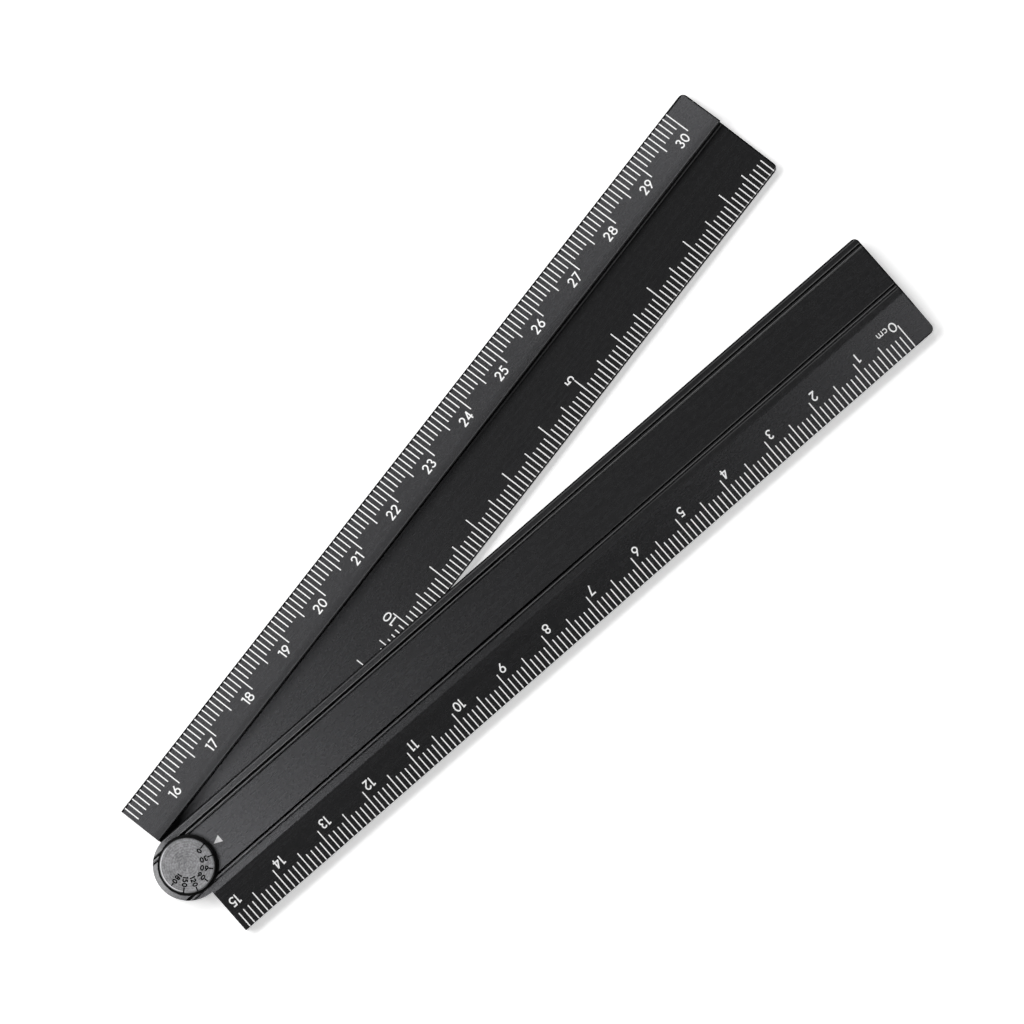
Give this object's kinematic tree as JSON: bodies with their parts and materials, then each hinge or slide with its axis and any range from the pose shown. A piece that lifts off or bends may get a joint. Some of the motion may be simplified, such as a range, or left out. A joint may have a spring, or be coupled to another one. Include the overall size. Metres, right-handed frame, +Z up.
{
  "type": "folding rule with angle finder",
  "caption": "Folding straight edge: flat graduated arms on one pivot, with a protractor dial on the pivot that shows the opening angle.",
  "frame": {"origin": "pivot axis, in the plane of the lower arm's underside", "axes": "+X along the lower arm away from the pivot, +Y to its raised flange, +Z up through the dial"},
  "size_m": [0.1606, 0.0585, 0.0064],
  "materials": {
    "black_anodised": "black anodised, lengthwise brushing, white printed scales",
    "satin_aluminium": "turned and bead-blasted, clear anodised, engraved marks filled black",
    "black_nylon": "matt",
    "white_acetal": "natural white",
    "turned_steel": "turned, bright",
    "spring_steel": "blued"
  },
  "bodies": {
    "lower_arm_group": {"lower_arm": "black_anodised", "pivot_spindle": "turned_steel", "dial": "satin_aluminium", "dial_glide_ring": "black_nylon", "arm_spacer_washer": "black_nylon", "pressure_washer": "turned_steel", "bow_spring_washer": "spring_steel", "pivot_screw": "turned_steel", "lock_washer": "spring_steel", "underside_cap": "black_nylon"},
    "upper_arm_group": {"upper_arm": "black_anodised", "upper_arm_bush": "white_acetal"}
  },
  "joints": [
    {"name": "opening", "type": "hinge", "parent": "lower_arm_group", "child": "upper_arm_group", "pos_m": [0, 0, 0.00285], "axis": [0, 0, -1], "range_deg": [-11.1, 168.9]}
  ]
}
